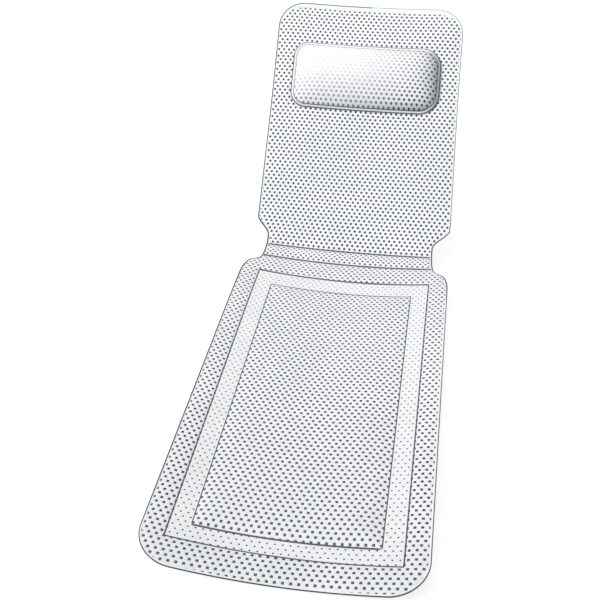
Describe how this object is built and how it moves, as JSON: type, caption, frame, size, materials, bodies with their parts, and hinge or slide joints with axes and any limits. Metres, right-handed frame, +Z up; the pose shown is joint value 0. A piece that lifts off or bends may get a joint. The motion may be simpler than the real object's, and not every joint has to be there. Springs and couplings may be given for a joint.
{
  "type": "bath pillow",
  "caption": "Full-length bath pillow: a long perforated padded mat with a framed seat, a narrow folding waist, a padded back with a raised head pillow, and suction cups below.",
  "frame": {"origin": "middle of the part's bounding box at the level of the lowest suction cup rims", "axes": "+Y from the foot edge to the head edge, +X across the mat, +Z up"},
  "size_m": [0.3794, 1.0976, 0.3781],
  "materials": {
    "sheet": "soft white perforated foam sheet",
    "weld": "fused white sheet",
    "padding": "grey foam",
    "cup_plastic": "clear soft plastic"
  },
  "bodies": {
    "seat": {"seat_top_sheet": "sheet", "seat_centre_pad": "padding", "seat_border_pad": "padding", "seat_bottom_sheet": "sheet", "seat_cup_left_1": "cup_plastic", "seat_cup_right_1": "cup_plastic", "seat_cup_left_2": "cup_plastic", "seat_cup_right_2": "cup_plastic", "seat_cup_left_3": "cup_plastic", "seat_cup_right_3": "cup_plastic", "seat_cup_left_4": "cup_plastic", "seat_cup_right_4": "cup_plastic", "seat_cup_left_5": "cup_plastic", "seat_cup_right_5": "cup_plastic"},
    "waist": {"waist_top_sheet": "sheet", "waist_pad": "padding", "waist_bottom_sheet": "sheet", "lower_fold_weld": "weld"},
    "back": {"back_top_sheet": "sheet", "back_pad": "padding", "back_bottom_sheet": "sheet", "upper_fold_weld": "weld", "pillow_base_sheet": "sheet", "pillow_filling": "padding", "pillow_shell": "sheet", "back_cup_left_1": "cup_plastic", "back_cup_right_1": "cup_plastic", "back_cup_left_2": "cup_plastic", "back_cup_right_2": "cup_plastic", "back_cup_left_3": "cup_plastic", "back_cup_right_3": "cup_plastic"}
  },
  "joints": [
    {"name": "lower_fold", "type": "hinge", "parent": "seat", "child": "waist", "pos_m": [0, 0.17224, 0.01324], "axis": [1, 0, 0], "range_deg": [-22.5, 40], "deforming": ["lower_fold_weld"]},
    {"name": "upper_fold", "type": "hinge", "parent": "waist", "child": "back", "pos_m": [0, 0.19866, 0.02419], "axis": [1, 0, 0], "range_deg": [-23, 40], "deforming": ["upper_fold_weld"]}
  ]
}
